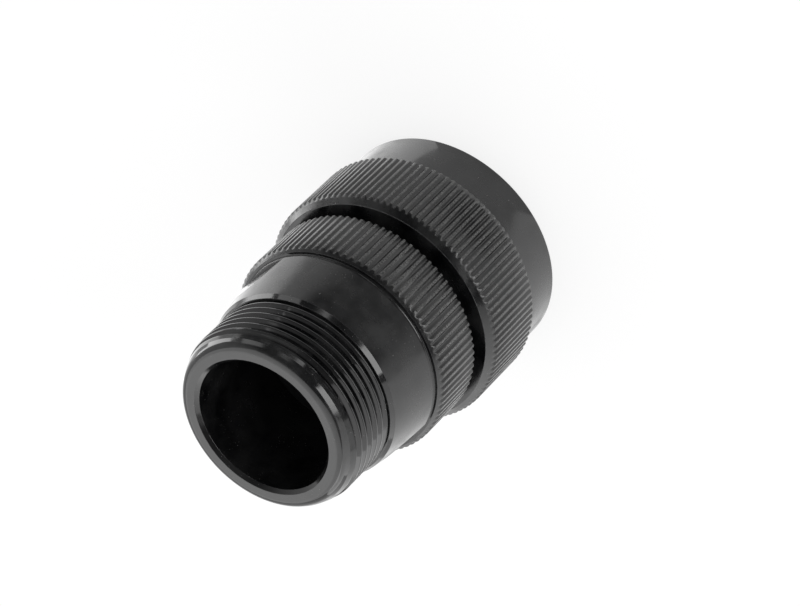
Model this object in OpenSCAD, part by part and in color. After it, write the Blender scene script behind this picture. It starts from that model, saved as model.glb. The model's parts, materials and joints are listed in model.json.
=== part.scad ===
// Circular multi-contact plug: a knurled bayonet coupling ring over a turned shell, a pin insert,
// and a knurled end bell with wrench flats, an outside thread and a plain cable entry.
// It stands on the coupling ring's front rim with the cable entry up, in millimetres.
// The origin is the centre of that rim, and +Z runs along the axis towards the cable entry.

/* [Coupling ring] */
// Height of the knurled band above the smooth sleeve in front of it
sleeve_step = 1.1; // [0.7:0.05:2]
// Wall of the smooth sleeve
sleeve_wall = 2.3; // [1.5:0.1:3]
// Length of the smooth sleeve
sleeve_len = 7.7; // [7.4:0.1:12]
// Length of the knurled band
ring_knurl_len = 11; // [10.2:0.1:16]
// Chamfer between the knurled band and the rear face
ring_chamfer = 1.2; // [0.6:0.1:1.6]
// Ridges round the coupling ring
ring_ridges = 109; // [60:1:120]
// Width of the space between the ring's bore and the shell, for the spring and washer
ring_space = 1.9; // [1.4:0.1:2.6]
// Thickness of the inner flange at the rear
ring_flange_t = 2.2; // [1.6:0.1:2.6]
// Radius of the rim's outer edge
rim_round = 0.3; // [0.2:0.1:1]
// Number of bayonet lugs inside the bore
lug_count = 3; // [2:1:4]
// Height of a lug, inwards from the bore
lug_height = 1.1; // [0.6:0.1:1.5]
// Width of a lug along the bore
lug_width = 3.2; // [2:0.1:5]
// Length of a lug along the axis
lug_length = 2.6; // [1.5:0.1:4]
// Distance from the rim to the lugs
lug_setback = 2.4; // [1.5:0.1:4]

/* [End bell] */
// Wall of the end bell, from the shell's thread to the ridges of the knurl
bell_wall = 3.42; // [2.8:0.01:5]
// Length of the end bell's knurled band
bell_knurl_len = 8.8; // [7:0.1:14]
// Chamfer behind the end bell's knurled band
bell_chamfer = 0.7; // [0.4:0.1:1.2]
// Ridges round the end bell
bell_ridges = 90; // [50:1:110]
// Width of the round groove behind the knurled band
groove_width = 1; // [0.6:0.1:1.4]
// Step from the knurl's ridges down to the tapered body
body_step = 0.9; // [0.6:0.1:1.6]
// Length of the tapered body
body_len = 8; // [6:0.1:14]
// Distance across the two wrench flats
flat_width = 32; // [31:0.1:33.6]
// Chamfer from the body down to the thread
shoulder_chamfer = 0.7; // [0.3:0.1:1.2]
// Wall of the rear end, from the cable entry to the thread's crests
thread_wall = 4.05; // [3.2:0.05:5]
// Length of the rear thread with its relief, up to the nose
thread_len = 8.5; // [6:0.05:14]
// Pitch of the rear thread
thread_pitch = 1.411; // [1.2:0.001:1.8]
// Depth of the rear thread and of its relief
thread_depth = 0.85; // [0.5:0.05:1]
// Width of the relief groove at the thread's front end
relief_width = 0.4; // [0.3:0.1:1.6]
// Length of the sloping nose, into which the thread runs out
nose_len = 2.6; // [1.8:0.05:4]
// Angle between the nose and the axis
nose_slope = 24; // [15:1:32]
// Radius between the nose and the rear face
nose_round = 1.1; // [0.3:0.05:1.4]
// Height of the edge by which the cable entry's bore covers the follower
bore_edge = 0.14; // [0:0.02:2]
// Chamfer at the cable entry's mouth
bore_chamfer = 0.55; // [0.2:0.05:0.9]

/* [Knurl] */
// Depth of the grooves between the ridges
knurl_depth = 0.4; // [0.25:0.05:0.5]
// Share of the pitch that a ridge's top takes
knurl_land = 0.42; // [0.3:0.02:0.6]
// Share of the pitch that a groove's floor takes
knurl_floor = 0.14; // [0.06:0.02:0.25]
// Chamfer at the front ends of the coupling ring's ridges
knurl_end = 0.3; // [0.3:0.05:0.6]

/* [Shell] */
// Wall of the front barrel
barrel_wall = 1.3; // [1:0.05:1.6]
// Distance from the ring's rim to the barrel's front edge
barrel_setback = 1.2; // [0.5:0.1:2]
// Wall of the rear tube, at the thread that carries the end bell
shell_wall = 1.85; // [1.6:0.05:2.2]
// Thickness of the shell's flange
shell_flange_t = 1.8; // [1.4:0.1:2.4]
// Thickness of the shoulder inside the shell that stops the insert
shoulder_t = 1.2; // [0.8:0.1:2]
// Height of that shoulder
shoulder_h = 0.55; // [0.4:0.05:0.8]
// Width of the keyway along the barrel
keyway_width = 3.2; // [2:0.1:5]
// Depth of the keyway
keyway_depth = 0.7; // [0.4:0.05:0.85]
// Thickness of the rubber gasket in front of the flange
gasket_t = 1; // [0.6:0.1:1.6]

/* [Coupling springs and rings] */
// Height of the wave spring as fitted
spring_h = 2.4; // [1.8:0.1:3]
// Thickness of the wave spring's strip
spring_t = 0.4; // [0.3:0.05:0.5]
// Waves round the spring
spring_waves = 3; // [3:1:5]
// Thickness of the thrust washer
washer_t = 0.8; // [0.5:0.05:1.2]
// Thickness of the retaining ring
retainer_t = 1.1; // [0.8:0.05:1.4]
// Depth of the retaining ring's seat in the shell
retainer_seat = 0.8; // [0.5:0.05:1]
// Height of the retaining ring above the shell
retainer_h = 0.9; // [0.6:0.05:1]
// Opening between the retaining ring's ends
retainer_gap = 3; // [1.5:0.1:6]
// Space between the coupling ring and the end bell
ring_gap = 2.2; // [1.8:0.1:4]

/* [Insert and contacts] */
// Diameter of the insert, which sets the diameters of the shell, coupling ring and end bell
insert_d = 24.8; // [23:0.1:30]
// Length of the front insert behind the shell's shoulder
front_insert_len = 5; // [4:0.1:8]
// Thickness of the plate that locks the contacts
plate_t = 1.6; // [1:0.1:2.4]
// Length of the rear insert
rear_insert_len = 6.6; // [5:0.1:10]
// Thickness of the ring that locks the insert
lock_t = 0.9; // [0.6:0.05:1.2]
// Depth of the lock ring's seat in the shell
lock_seat = 0.6; // [0.4:0.05:0.8]
// Reach of the lock ring inwards from the shell's bore
lock_reach = 1.2; // [0.8:0.05:1.5]
// Opening between the lock ring's ends
lock_gap = 4; // [2:0.1:8]
// Length of the wire grommet behind the lock ring
grommet_len = 2.1; // [1.6:0.1:5]
// Contacts on the inner circle
inner_contacts = 4; // [2:1:4]
// Contacts on the outer circle
outer_contacts = 10; // [6:1:11]
// Diameter of the inner circle of contacts
inner_pcd = 7.2; // [6:0.1:8.4]
// Distance from the outer circle of contacts to the insert's edge
contact_edge = 3.8; // [3.2:0.1:4.6]
// Diameter of a contact's pin
pin_d = 1.57; // [1:0.01:2]
// Length of pin that stands out of the insert
pin_len = 6.6; // [4:0.1:7]
// Diameter of a contact's collar
collar_d = 3.2; // [2.9:0.05:3.6]
// Length of a contact's collar
collar_len = 1.45; // [1:0.05:2]
// Diameter of a contact's crimp barrel
crimp_d = 2.5; // [2.3:0.05:2.6]
// Distance from the crimp barrel's end to the rear insert's face
crimp_setback = 0.55; // [0.2:0.05:1.5]
// Diameter of the wire hole in the crimp barrel and the grommet
wire_d = 1.7; // [1.2:0.05:1.9]
// Depth of the wire hole in the crimp barrel
wire_depth = 5; // [3:0.1:6]
// Diameter of the sight hole near the bottom of the wire hole
sight_d = 0.8; // [0.5:0.05:1.1]
// Distance from the bottom of the wire hole to the sight hole
sight_setback = 0.9; // [0.7:0.05:1.5]
// Relief between the sealing lips in the grommet's wire holes
lip_relief = 0.3; // [0.1:0.05:0.5]

/* [Follower and seal] */
// Depth to which the follower's skirt enters the shell
follower_dip = 1; // [0.5:0.1:2]
// Thickness of the follower's rim
follower_rim_t = 1.2; // [0.8:0.1:2]
// Wall of the follower's skirt
follower_wall = 1.2; // [0.8:0.05:1.4]
// Width by which the end bell's lip holds the follower's rim
lip_hold = 0.3; // [0.2:0.05:0.5]
// Thickness of that lip
lip_t = 0.8; // [0.5:0.1:1.5]
// Space between that lip and the shell's rear end
lip_space = 0.8; // [0.4:0.1:2]
// Thickness of the seal ring under the end bell
seal_d = 1.45; // [1.2:0.05:1.6]
// Depth of the seal ring's groove in the shell
seal_seat = 0.6; // [0.4:0.05:0.8]

/* [Clearances] */
// Between a turning piece and what it turns on, on each side
run_clear = 0.08; // [0.03:0.01:0.1]
// Between two fixed pieces, on each side
fit_clear = 0.05; // [0.03:0.01:0.1]
// Between the shell's flange and the coupling ring's bore, on each side
guide_clear = 0.15; // [0.1:0.01:0.2]

/* [Hidden] */
$fn = 96;
chamfer_small = 0.4;
edge_overrun = 1;

// Shares of the pitch that the thread's crest and its floor take
thread_crest = 0.1;
thread_floor = 0.1;

// Stations along the axis, counted from the coupling ring's rim
knurl_z0 = sleeve_len;
knurl_z1 = knurl_z0 + ring_knurl_len;
ring_z1 = knurl_z1 + ring_chamfer;
ring_flange_z = ring_z1 - ring_flange_t;
washer_z1 = ring_flange_z - fit_clear;
washer_z0 = washer_z1 - washer_t;
spring_z0 = washer_z0 - spring_h;
flange_z0 = spring_z0 - shell_flange_t;
gasket_z0 = flange_z0 - gasket_t;
retainer_z0 = ring_z1 + fit_clear;
bell_z0 = ring_z1 + ring_gap;
face_z = gasket_z0 + gasket_t / 2;
shoulder_z0 = flange_z0;
shoulder_z1 = shoulder_z0 + shoulder_t;
plate_z0 = shoulder_z1 + front_insert_len;
rear_insert_z0 = plate_z0 + plate_t;
lock_z0 = rear_insert_z0 + rear_insert_len;
lock_z1 = lock_z0 + lock_t + 2 * fit_clear;
grommet_z1 = lock_z1 + grommet_len;
shell_z1 = grommet_z1 + follower_dip;
seal_z0 = bell_z0 + chamfer_small;
seal_z1 = seal_z0 + seal_d + 2 * fit_clear;
lip_z0 = shell_z1 + lip_space;
lip_z1 = lip_z0 + lip_t;
pocket_z1 = lip_z1 + follower_rim_t + 2 * run_clear;
bell_knurl_z1 = bell_z0 + bell_knurl_len;
groove_z0 = bell_knurl_z1 + bell_chamfer;
groove_z1 = groove_z0 + groove_width;
body_z1 = groove_z1 + body_len;
thread_z0 = body_z1 + shoulder_chamfer;
relief_z1 = thread_z0 + relief_width + thread_depth / 2;
thread_z1 = thread_z0 + thread_len;
nose_z1 = thread_z1 + nose_len;
pin_z0 = face_z - pin_len;
collar_z0 = plate_z0 - collar_len - fit_clear;

// Radii and diameters, from the insert out to the coupling ring and the end bell
outer_pcd = insert_d - 2 * contact_edge;
shell_bore_r = insert_d / 2 + fit_clear;
shell_r = shell_bore_r + shell_wall;
barrel_r = shell_bore_r + barrel_wall;
ring_bore_r = shell_r + ring_space;
sleeve_od = 2 * (ring_bore_r + sleeve_wall);
ring_od = sleeve_od + 2 * sleeve_step;
flange_r = ring_bore_r - guide_clear;
washer_r = ring_bore_r - 2 * guide_clear;
shell_hole_r = shell_r + run_clear;
shoulder_r = shell_bore_r - shoulder_h;
lock_r = shell_bore_r - lock_reach;
retainer_r = shell_r + retainer_h;
seal_bore_r = shell_r - seal_seat + seal_d + fit_clear;
follower_r = shell_bore_r - 2 * run_clear;
lip_r = follower_r + 3 * run_clear;
pocket_r = lip_r + lip_hold + run_clear;
bell_od = 2 * (shell_hole_r + bell_wall);
body_front_d = bell_od - 2 * body_step;
bore_r = follower_r - follower_wall - bore_edge;
thread_d = 2 * (bore_r + thread_wall);
nose_face_r = thread_d / 2 - (nose_round + sin(nose_slope) * (nose_len - nose_round)) / cos(nose_slope);
body_rear_r = thread_d / 2 + shoulder_chamfer;

// Places of the contacts: the radius and the angle of each
contact_total = inner_contacts + outer_contacts;
inner_step = 360 / inner_contacts;
outer_step = 360 / outer_contacts;
contact_places = concat(
    [for (i = [0:inner_contacts - 1]) [inner_pcd / 2, inner_step * (i + 0.5)]],
    [for (i = [0:outer_contacts - 1]) [outer_pcd / 2, outer_step * (i + 0.5)]]
);
contact_names = [for (i = [1:contact_total]) str("contact_", i)];

// Points of a round arc about [r, z], from one angle to another
function arc(r, z, radius, from, to, steps = 6) =
    [for (i = [0:steps]) let (a = from + (to - from) * i / steps) [r + radius * cos(a), z + radius * sin(a)]];

// A turned piece from its section, given as [radius, height] points
module turned(section) rotate_extrude() polygon(section);

// A turned tube with plain ends
module tube(r_out, r_in, z0, z1)
    turned([[r_in, z0], [r_out, z0], [r_out, z1], [r_in, z1]]);

// Bar with straight ridges from z0 to z1 and plain on to z2, for cutting to a knurled piece's section
module ridged_bar(d, ridges, z0, z1, z2) {
    pitch = 360 / ridges;
    top = pitch * knurl_land / 2;
    floor_half = pitch * knurl_floor / 2;
    crest_r = (d / 2 + knurl_depth / 2) / cos(top);
    root_r = d / 2 - knurl_depth;
    ridge = [
        [crest_r, -top],
        [crest_r, top],
        [root_r, pitch / 2 - floor_half],
        [root_r, pitch / 2 + floor_half]
    ];
    translate([0, 0, z0])
        linear_extrude(z1 - z0)
            polygon([for (i = [0:ridges - 1], p = ridge) let (a = i * pitch + p[1]) p[0] * [cos(a), sin(a)]]);
    translate([0, 0, z1])
        cylinder(r = d, h = z2 - z1);
}

// Places its children at each contact
module at_contacts()
    for (place = contact_places)
        rotate(place[1])
            translate([place[0], 0, 0])
                children();

// A through hole of radius r, past both faces
module hole(r, z0, z1)
    translate([0, 0, z0 - edge_overrun])
        cylinder(r = r, h = z1 - z0 + 2 * edge_overrun, $fn = 48);

// Split in a spring ring, on the -Y side
module ring_split(gap, r, z0, z1)
    translate([-gap / 2, -r - edge_overrun, z0 - edge_overrun])
        cube([gap, r + edge_overrun, z1 - z0 + 2 * edge_overrun]);

// Knurled ring that turns on the shell and draws the plug home by three inner lugs
module coupling_ring() color("#1c1d1f") {
    intersection() {
        mirror([0, 0, 1])
            ridged_bar(ring_od, ring_ridges, -ring_z1 - edge_overrun, -knurl_z0 + edge_overrun, edge_overrun);
        turned(concat(
            [[ring_bore_r + chamfer_small, 0]],
            arc(sleeve_od / 2 - rim_round, rim_round, rim_round, -90, 0),
            [
                [sleeve_od / 2, knurl_z0],
                [ring_od / 2 - knurl_end, knurl_z0],
                [ring_od / 2, knurl_z0 + knurl_end],
                [ring_od / 2, knurl_z1],
                [ring_od / 2 - ring_chamfer, ring_z1],
                [shell_hole_r, ring_z1],
                [shell_hole_r, ring_flange_z],
                [ring_bore_r, ring_flange_z],
                [ring_bore_r, chamfer_small]
            ]
        ));
    }
    for (i = [0:lug_count - 1])
        rotate(360 * i / lug_count)
            bayonet_lug();
}

// One lug, whose outer end is sunk into the ring's wall
module bayonet_lug() {
    root = (sleeve_od / 2 - ring_bore_r) / 2;
    intersection() {
        translate([0, -lug_width / 2, lug_setback])
            cube([sleeve_od / 2, lug_width, lug_length]);
        tube(ring_bore_r + root, ring_bore_r - lug_height, lug_setback - edge_overrun,
            lug_setback + lug_length + edge_overrun);
    }
}

// Flat washer between the wave spring and the coupling ring's flange
module thrust_washer() color("#b9bcc0")
    tube(washer_r, shell_hole_r, washer_z0, washer_z1);

// Sprung washer with waves that touch the shell's flange and the thrust washer in turn
module wave_spring() color("#a7abb0") {
    steps = 24 * spring_waves;
    swing = (spring_h - spring_t) / 2;
    r_in = shell_hole_r + guide_clear;
    r_out = washer_r - guide_clear;
    middle = spring_z0 + spring_h / 2;
    heights = [for (i = [0:steps - 1]) middle + swing * cos(spring_waves * 360 * i / steps)];
    corners = [[r_in, -1], [r_out, -1], [r_out, 1], [r_in, 1]];
    points = [
        for (i = [0:steps - 1], c = corners)
            let (a = 360 * i / steps)
                [c[0] * cos(a), c[0] * sin(a), heights[i] + c[1] * spring_t / 2]
    ];
    faces = [
        for (i = [0:steps - 1], k = [0:3])
            let (j = (i + 1) % steps, m = (k + 1) % 4)
                [4 * i + k, 4 * j + k, 4 * j + m, 4 * i + m]
    ];
    polyhedron(points, faces);
}

// Split ring in a groove of the shell, which keeps the coupling ring from coming off
module retaining_ring() color("#8e9296")
    difference() {
        tube(retainer_r, shell_r - retainer_seat + fit_clear, retainer_z0, retainer_z0 + retainer_t);
        ring_split(retainer_gap, retainer_r, retainer_z0, retainer_z0 + retainer_t);
    }

// Turned shell: barrel with keyway, guide flange, grooves for the rings and the rear thread
module plug_shell() color("#232427") {
    retainer_groove_r = shell_r - retainer_seat;
    retainer_z1 = retainer_z0 + retainer_t + fit_clear;
    seal_r = shell_r - seal_seat;
    lock_groove_r = shell_bore_r + lock_seat;
    difference() {
        turned([
            [shell_bore_r, barrel_setback],
            [barrel_r - chamfer_small, barrel_setback],
            [barrel_r, barrel_setback + chamfer_small],
            [barrel_r, flange_z0],
            [flange_r, flange_z0],
            [flange_r, spring_z0],
            [shell_r, spring_z0],
            [shell_r, retainer_z0 - fit_clear / 2],
            [retainer_groove_r, retainer_z0 - fit_clear / 2],
            [retainer_groove_r, retainer_z1],
            [shell_r, retainer_z1],
            [shell_r, seal_z0],
            [seal_r, seal_z0],
            [seal_r, seal_z1],
            [shell_r, seal_z1],
            [shell_r, shell_z1 - chamfer_small],
            [shell_r - chamfer_small, shell_z1],
            [shell_bore_r, shell_z1],
            [shell_bore_r, lock_z1],
            [lock_groove_r, lock_z1],
            [lock_groove_r, lock_z0],
            [shell_bore_r, lock_z0],
            [shell_bore_r, shoulder_z1],
            [shoulder_r, shoulder_z1],
            [shoulder_r, shoulder_z0],
            [shell_bore_r, shoulder_z0]
        ]);
        translate([-keyway_width / 2, -barrel_r - edge_overrun, barrel_setback - edge_overrun])
            cube([keyway_width, keyway_depth + edge_overrun, gasket_z0 - barrel_setback + edge_overrun]);
    }
}

// Flat rubber ring at the bottom of the space that the mating shell enters
module interface_gasket() color("#2b2b2b")
    tube(flange_r - guide_clear, barrel_r + fit_clear, gasket_z0, flange_z0);

// Front insert: a boss in the shell's shoulder, and a seat for each contact's collar
module front_insert() color("#2f3a36") {
    seat_z0 = collar_z0 - fit_clear;
    difference() {
        turned([
            [0, face_z],
            [shoulder_r - fit_clear - chamfer_small, face_z],
            [shoulder_r - fit_clear, face_z + chamfer_small],
            [shoulder_r - fit_clear, shoulder_z1],
            [insert_d / 2, shoulder_z1],
            [insert_d / 2, plate_z0],
            [0, plate_z0]
        ]);
        at_contacts() {
            hole(pin_d / 2 + fit_clear, face_z, plate_z0);
            translate([0, 0, seat_z0])
                cylinder(r = collar_d / 2 + fit_clear, h = plate_z0 - seat_z0 + edge_overrun, $fn = 48);
        }
    }
}

// Stiff plate behind the collars, which locks the contacts in the front insert
module contact_plate() color("#8c6f3f")
    difference() {
        tube(insert_d / 2, 0, plate_z0, rear_insert_z0);
        at_contacts() hole(crimp_d / 2 + fit_clear, plate_z0, rear_insert_z0);
    }

// Rear insert round the crimp barrels
module rear_insert() color("#2f3a36")
    difference() {
        tube(insert_d / 2, 0, rear_insert_z0, lock_z0);
        at_contacts() hole(crimp_d / 2 + fit_clear, rear_insert_z0, lock_z0);
    }

// Split ring in the shell's bore that holds the insert against the shoulder
module insert_lock_ring() color("#8e9296")
    difference() {
        tube(shell_bore_r + lock_seat - fit_clear, lock_r, lock_z0 + fit_clear, lock_z1 - fit_clear);
        ring_split(lock_gap, shell_bore_r + lock_seat, lock_z0, lock_z1);
    }

// Rubber grommet that seals each wire between two lips, with a boss inside the lock ring
module wire_grommet() color("#3a3c3d") {
    boss_r = lock_r - fit_clear;
    relief_r = wire_d / 2 + lip_relief;
    relief_z0 = lock_z0 + lip_relief;
    relief_z1 = grommet_z1 - lip_relief;
    difference() {
        turned([
            [0, lock_z0],
            [boss_r, lock_z0],
            [boss_r, lock_z1],
            [insert_d / 2, lock_z1],
            [insert_d / 2, grommet_z1],
            [0, grommet_z1]
        ]);
        at_contacts() {
            hole(wire_d / 2, lock_z0, grommet_z1);
            turned([
                [0, relief_z0],
                [wire_d / 2, relief_z0],
                [relief_r, relief_z0 + lip_relief],
                [relief_r, relief_z1 - lip_relief],
                [wire_d / 2, relief_z1],
                [0, relief_z1]
            ]);
        }
    }
}

// Slip ring that presses the grommet and stays in the end bell as it turns
module grommet_follower() color("#54575a") {
    rim_r = lip_r + lip_hold;
    inner_r = follower_r - follower_wall;
    rim_z0 = lip_z1 + run_clear;
    rim_z1 = rim_z0 + follower_rim_t;
    turned([
        [inner_r, grommet_z1 + fit_clear],
        [follower_r, grommet_z1 + fit_clear],
        [follower_r, rim_z0],
        [rim_r, rim_z0],
        [rim_r, rim_z1],
        [inner_r, rim_z1]
    ]);
}

// End bell: knurled band, round groove, tapered body with two flats, thread, nose and cable entry
module end_bell() color("#17181a") {
    groove_r = groove_width / 2;
    groove_mid = groove_z0 + groove_r;
    groove_rim_r = bell_od / 2 - bell_chamfer;
    thread_turns = ceil((thread_z1 - relief_z1) / thread_pitch);
    difference() {
        intersection() {
            ridged_bar(bell_od, bell_ridges, bell_z0 - edge_overrun, groove_mid, nose_z1 + edge_overrun);
            turned(concat(
                [
                    [seal_bore_r, bell_z0],
                    [bell_od / 2, bell_z0],
                    [bell_od / 2, bell_knurl_z1],
                    [groove_rim_r, groove_z0]
                ],
                arc(body_front_d / 2, groove_mid, groove_r, -90, -270, 8),
                [
                    [body_rear_r, body_z1],
                    [thread_d / 2, thread_z0],
                    [thread_d / 2 - thread_depth, thread_z0],
                    [thread_d / 2 - thread_depth, thread_z0 + relief_width],
                    [thread_d / 2, relief_z1],
                    [thread_d / 2, thread_z1]
                ],
                arc(nose_face_r, nose_z1 - nose_round, nose_round, nose_slope, 90, 8),
                [
                    [bore_r + bore_chamfer, nose_z1],
                    [bore_r, nose_z1 - bore_chamfer],
                    [bore_r, pocket_z1],
                    [pocket_r, pocket_z1],
                    [pocket_r, lip_z1],
                    [lip_r, lip_z1],
                    [lip_r, lip_z0],
                    [shell_hole_r, lip_z0],
                    [shell_hole_r, seal_z1 + chamfer_small],
                    [seal_bore_r, seal_z1 + chamfer_small]
                ]
            ));
        }
        for (side = [0, 180])
            rotate(side)
                wrench_flat(groove_mid);
        for (i = [0:thread_turns - 1])
            thread_groove(relief_z1 + (i + 0.5) * thread_pitch);
    }
}

// One turn of the rear thread, drawn as a ring groove with the thread's section
module thread_groove(z) {
    floor_half = thread_pitch * thread_floor / 2;
    crest_half = thread_pitch * (1 - thread_crest) / 2;
    mouth_half = crest_half + (crest_half - floor_half) / 2;
    root_r = thread_d / 2 - thread_depth;
    mouth_r = thread_d / 2 + thread_depth / 2;
    turned([
        [root_r, z - floor_half],
        [mouth_r, z - mouth_half],
        [mouth_r, z + mouth_half],
        [root_r, z + floor_half]
    ]);
}

// Space outside one wrench flat, from the groove to beyond the tapered body
module wrench_flat(z0)
    translate([flat_width / 2, -body_front_d / 2, z0])
        cube([body_front_d / 2, body_front_d, thread_z0 - z0]);

// Rubber ring between the shell and the end bell's counterbore
module end_bell_seal() color("#2b2b2b")
    rotate_extrude()
        translate([shell_r - seal_seat + seal_d / 2 + fit_clear / 2, (seal_z0 + seal_z1) / 2])
            circle(d = seal_d - fit_clear);

// One contact: round-ended pin, collar and crimp barrel with its wire hole and sight hole
module contact(place) color("#c9a24a") {
    tip = pin_d / 4;
    crimp_z0 = collar_z0 + collar_len;
    crimp_z1 = lock_z0 - crimp_setback;
    well_z0 = crimp_z1 - wire_depth;
    rotate(place[1])
        translate([place[0], 0, 0])
            difference() {
                turned(concat(
                    [[0, pin_z0]],
                    arc(pin_d / 2 - tip, pin_z0 + tip, tip, -90, 0, 4),
                    [
                        [pin_d / 2, collar_z0],
                        [collar_d / 2, collar_z0],
                        [collar_d / 2, crimp_z0],
                        [crimp_d / 2, crimp_z0],
                        [crimp_d / 2, crimp_z1],
                        [wire_d / 2, crimp_z1],
                        [wire_d / 2, well_z0],
                        [0, well_z0]
                    ]
                ));
                translate([0, 0, well_z0 + sight_setback])
                    rotate([0, 90, 0])
                        cylinder(d = sight_d, h = crimp_d, $fn = 32);
            }
}

coupling_ring();
thrust_washer();
wave_spring();
retaining_ring();
plug_shell();
interface_gasket();
front_insert();
contact_plate();
rear_insert();
insert_lock_ring();
wire_grommet();
grommet_follower();
end_bell();
end_bell_seal();
for (i = [0:contact_total - 1])
    contact(contact_places[i]);
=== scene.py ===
"""Looks of a black circular multi-pin cable plug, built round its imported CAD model.

The plug stands on its coupling ring's front rim, with its cable entry up. Lengths in the sections
are millimetres until a mesh is made; Blender's own objects, lights and camera are in metres.
"""

import json
import math

import bmesh
import bpy
import numpy as np
from mathutils import Matrix, Quaternion, Vector


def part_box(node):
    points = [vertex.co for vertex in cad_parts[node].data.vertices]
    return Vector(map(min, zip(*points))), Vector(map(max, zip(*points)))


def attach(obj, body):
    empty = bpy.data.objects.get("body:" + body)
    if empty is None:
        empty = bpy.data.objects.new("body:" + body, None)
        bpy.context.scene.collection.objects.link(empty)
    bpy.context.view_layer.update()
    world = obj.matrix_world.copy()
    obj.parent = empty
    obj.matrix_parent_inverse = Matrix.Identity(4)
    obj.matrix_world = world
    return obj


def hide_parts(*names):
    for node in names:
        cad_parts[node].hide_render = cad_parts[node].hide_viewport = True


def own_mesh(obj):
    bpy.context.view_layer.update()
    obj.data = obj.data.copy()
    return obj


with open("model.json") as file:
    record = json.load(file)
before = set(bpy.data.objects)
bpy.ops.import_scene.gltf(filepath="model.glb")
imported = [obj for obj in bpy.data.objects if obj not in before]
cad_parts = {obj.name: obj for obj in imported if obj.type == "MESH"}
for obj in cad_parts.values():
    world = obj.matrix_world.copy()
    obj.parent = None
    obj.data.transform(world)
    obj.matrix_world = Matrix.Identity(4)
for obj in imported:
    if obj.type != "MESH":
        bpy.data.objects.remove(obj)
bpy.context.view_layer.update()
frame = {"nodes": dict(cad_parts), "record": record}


# Plug shell
# The plug's backbone: a thin aluminium tube with a guide flange, turned from bar, grooved for its
# rings and seal, threaded at the cable end and plated black. Everything else sits in it or on it.

MM = 0.001
FULL_TURN = 2 * math.pi
PITCH = 25.4 / 18  # both threads of the plug have 18 turns an inch
# The thread's form: a share of the pitch along the axis, and the share of the depth cut there.
THREAD_FORM = (
    (0.04, 0.0), (0.07, 0.03), (0.11, 0.13), (0.22, 0.41), (0.33, 0.69), (0.42, 0.92), (0.47, 1.0),
    (0.53, 1.0), (0.58, 0.92), (0.67, 0.69), (0.78, 0.41), (0.89, 0.13), (0.93, 0.03), (0.96, 0.0))
# The same form in fewer steps, for the two threads that cover each other.
COVERED_FORM = (
    (0.04, 0.0), (0.11, 0.13), (0.42, 0.92), (0.47, 1.0),
    (0.53, 1.0), (0.58, 0.92), (0.89, 0.13), (0.96, 0.0))
SHARP_ANGLE = math.radians(28)


class ThreadRows(list):
    """Rows of a thread: after a turn round the axis, a row goes on as the row climb places on."""

    climb = 0

    def from_above(self):
        """The same rows, last one first, for the inside of a piece."""
        turned_over = ThreadRows(reversed(self))
        turned_over.climb = -self.climb
        return turned_over


def span(node_name):
    """Outer radius, lowest height and highest height of a CAD node, in millimetres."""
    low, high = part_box(node_name)
    return high.x / MM, low.z / MM, high.z / MM


def rounded(*corners, steps=5, support=0.04):
    """Points (radius, height, rub) along a section with corners (radius, height, rounding).

    A rounded corner becomes an arc, with rub 1 where it is sharp enough to wear, and less where it
    is wide. A negative rounding is a hollow corner, which nothing rubs. A straight run gets a point
    beside each of its arcs, so that it still shades flat.
    """
    points = []
    sharp_rounding = 0.25
    for i, corner in enumerate(corners):
        here = np.array(corner[:2], float)
        rounding = corner[2] if len(corner) > 2 else 0.0
        if rounding == 0 or i in (0, len(corners) - 1):
            points.append((*here, 0.0))
            continue
        back = np.array(corners[i - 1][:2], float) - here
        ahead = np.array(corners[i + 1][:2], float) - here
        back /= np.linalg.norm(back)
        ahead /= np.linalg.norm(ahead)
        half = math.acos(float(back @ ahead)) / 2
        reach = abs(rounding) / math.tan(half)
        middle = (back + ahead) / np.linalg.norm(back + ahead)
        centre = here + middle * abs(rounding) / math.sin(half)
        first, last = here + back * reach - centre, here + ahead * reach - centre
        sweep = math.pi - 2 * half
        rub = min(1.0, sharp_rounding / rounding) if rounding > 0 else 0.0
        points.append((*(here + back * (reach + support)), 0.0))
        for share in np.linspace(0, 1, steps + 1):
            spoke = math.sin((1 - share) * sweep) * first + math.sin(share * sweep) * last
            points.append((*(centre + spoke / math.sin(sweep)), rub))
        points.append((*(here + ahead * (reach + support)), 0.0))
    return points


def row(angles, radius, height, rub=0.0):
    """Vertices (x, y, z, rub) round the axis. Radius, height and rub may change with the angle."""
    return np.column_stack(
        np.broadcast_arrays(radius * np.cos(angles), radius * np.sin(angles), height, rub))


def turned_rows(angles, points):
    """One row round the axis for each point of a section."""
    return [row(angles, *point) for point in points]


def thread_rows(form, angles, start, end, crest_r, depth, crest_z, fade, limit=None):
    """Rows of a right-hand thread of a form, between two heights; crest_z is a crest's height at angle 0.

    A positive depth cuts inwards from the crest, a negative one outwards. The cut runs out over
    fade = (at the start, at the end), and stays inside limit, a radius worked out from the height.
    """
    crest_rub = 0.6
    rows = ThreadRows()
    rows.climb = len(form)
    first = math.floor((start - crest_z) / PITCH) - 2
    last = math.ceil((end - crest_z) / PITCH) + 1
    for turn in range(first, last + 1):
        for share, cut in form:
            height = np.clip(crest_z + (turn + share + angles / FULL_TURN) * PITCH, start, end)
            ease = np.clip((height - start) / fade[0], 0, 1) * np.clip((end - height) / fade[1], 0, 1)
            radius = crest_r - depth * cut * ease
            if limit:
                radius = np.minimum(radius, limit(height))
            rows.append(row(angles, radius, height, crest_rub if cut == 0 else 0.0))
    return rows


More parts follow.
